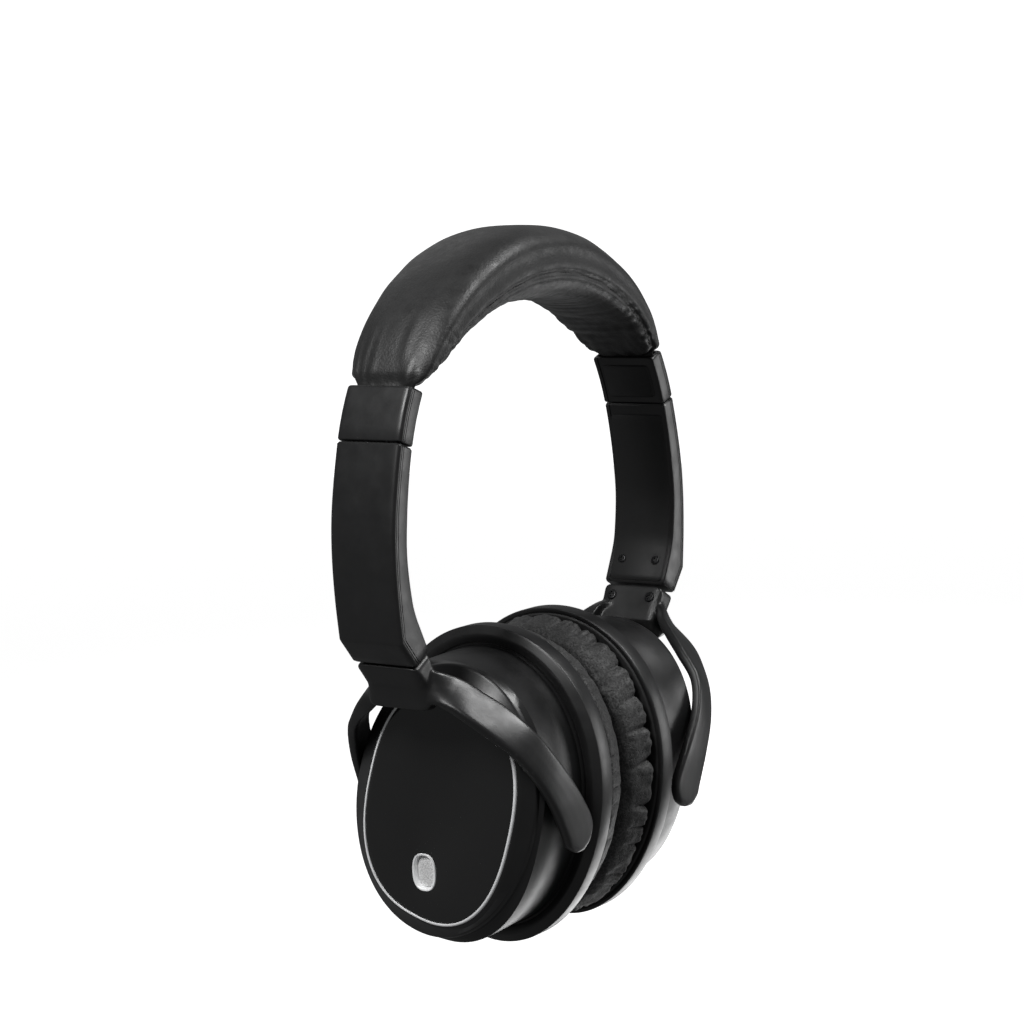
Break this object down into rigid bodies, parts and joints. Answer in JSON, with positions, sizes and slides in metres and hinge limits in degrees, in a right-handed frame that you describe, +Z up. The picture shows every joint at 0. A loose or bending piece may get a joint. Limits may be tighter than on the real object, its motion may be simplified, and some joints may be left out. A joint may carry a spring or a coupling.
{
  "type": "over ear headphones",
  "caption": "Over-ear headphones: padded arched headband, telescoping arms that swivel, forked yokes holding tilting oval cups, each with a flat leaning face plate in a bright rim.",
  "frame": {"origin": "middle of the headband's underside, the place that hangs on a stand or rests on a head", "axes": "+Z up from the ear cups to the crown of the band; X from ear to ear with the left cup at -X; +Y to the wearer's front"},
  "size_m": [0.1618, 0.0834, 0.227],
  "materials": {
    "satin_black": "satin moulded plastic with a fine grain",
    "matte_black": "matte moulded plastic",
    "gloss_black": "polished black face plate",
    "band_leather": "soft fine-grained black leather",
    "cushion_leather": "soft black leatherette with pinholes",
    "cloth": "thin knitted cloth",
    "bright_trim": "bright silver trim",
    "steel": "brushed spring steel",
    "dark_screw": "blackened steel",
    "foil": "dull wrapped cell",
    "board": "green solder mask"
  },
  "bodies": {
    "headband": {"headband_pad": "band_leather", "headband_spring": "steel", "left_end_cap": "satin_black", "left_end_cap_cover": "matte_black", "left_cap_screw_front": "dark_screw", "left_cap_screw_rear": "dark_screw", "right_end_cap": "satin_black", "right_end_cap_cover": "matte_black", "right_cap_screw_front": "dark_screw", "right_cap_screw_rear": "dark_screw"},
    "left_slider": {"left_slider_arm": "satin_black", "left_slider_arm_cover": "matte_black", "left_arm_screw_front": "dark_screw", "left_arm_screw_rear": "dark_screw", "left_slider_strip": "steel"},
    "left_fork": {"left_yoke": "satin_black", "left_hub_screw_front": "dark_screw", "left_hub_screw_rear": "dark_screw", "left_pivot_pin_front": "steel", "left_pivot_pin_rear": "steel"},
    "left_cup": {"left_cup_housing": "satin_black", "left_face_plate": "gloss_black", "left_face_trim": "bright_trim", "left_mic_bezel": "bright_trim", "left_mic_screen": "bright_trim", "left_baffle": "matte_black", "left_speaker_driver": "steel", "left_driver_cloth": "cloth", "left_ear_cushion": "cushion_leather", "battery": "foil", "charging_port": "steel", "audio_jack_socket": "matte_black"},
    "right_slider": {"right_slider_arm": "satin_black", "right_slider_arm_cover": "matte_black", "right_arm_screw_front": "dark_screw", "right_arm_screw_rear": "dark_screw", "right_slider_strip": "steel"},
    "right_fork": {"right_yoke": "satin_black", "right_hub_screw_front": "dark_screw", "right_hub_screw_rear": "dark_screw", "right_pivot_pin_front": "steel", "right_pivot_pin_rear": "steel"},
    "right_cup": {"right_cup_housing": "satin_black", "right_face_plate": "gloss_black", "right_face_trim": "bright_trim", "right_mic_bezel": "bright_trim", "right_mic_screen": "bright_trim", "right_baffle": "matte_black", "right_speaker_driver": "steel", "right_driver_cloth": "cloth", "right_ear_cushion": "cushion_leather", "circuit_board": "board"},
    "power_switch": {"power_switch": "satin_black"},
    "volume_up_button": {"volume_up_button": "satin_black"},
    "play_button": {"play_button": "satin_black"},
    "volume_down_button": {"volume_down_button": "satin_black"}
  },
  "joints": [
    {"name": "left_slide", "type": "slide", "parent": "headband", "child": "left_slider", "axis": [-0.3746, 0, -0.9272], "range_m": [0, 0.024]},
    {"name": "left_swivel", "type": "hinge", "parent": "left_slider", "child": "left_fork", "pos_m": [-0.06915, 0, -0.10265], "axis": [0.5, 0, -0.866], "range_deg": [-5, 90]},
    {"name": "left_tilt", "type": "hinge", "parent": "left_fork", "child": "left_cup", "pos_m": [-0.031, 0, -0.1595], "axis": [0, 1, 0], "range_deg": [-4, 12], "deforming": ["left_ear_cushion"]},
    {"name": "right_slide", "type": "slide", "parent": "headband", "child": "right_slider", "axis": [0.3746, 0, -0.9272], "range_m": [0, 0.024]},
    {"name": "right_swivel", "type": "hinge", "parent": "right_slider", "child": "right_fork", "pos_m": [0.06915, 0, -0.10265], "axis": [0.5, 0, 0.866], "range_deg": [-5, 90]},
    {"name": "right_tilt", "type": "hinge", "parent": "right_fork", "child": "right_cup", "pos_m": [0.031, 0, -0.1595], "axis": [0, -1, 0], "range_deg": [-4, 12], "deforming": ["right_ear_cushion"]},
    {"name": "volume_up_press", "type": "slide", "parent": "right_cup", "child": "volume_up_button", "axis": [0, -0.8611, 0.5085], "range_m": [0, 0.0006], "stiffness_N_per_m": 1500},
    {"name": "play_press", "type": "slide", "parent": "right_cup", "child": "play_button", "axis": [0, -0.7304, 0.683], "range_m": [0, 0.0006], "stiffness_N_per_m": 1500},
    {"name": "volume_down_press", "type": "slide", "parent": "right_cup", "child": "volume_down_button", "axis": [0, -0.5474, 0.8369], "range_m": [0, 0.0006], "stiffness_N_per_m": 1500},
    {"name": "power_switch_slide", "type": "slide", "parent": "left_cup", "child": "power_switch", "axis": [0, -0.683, -0.7304], "range_m": [0, 0.0036]}
  ]
}
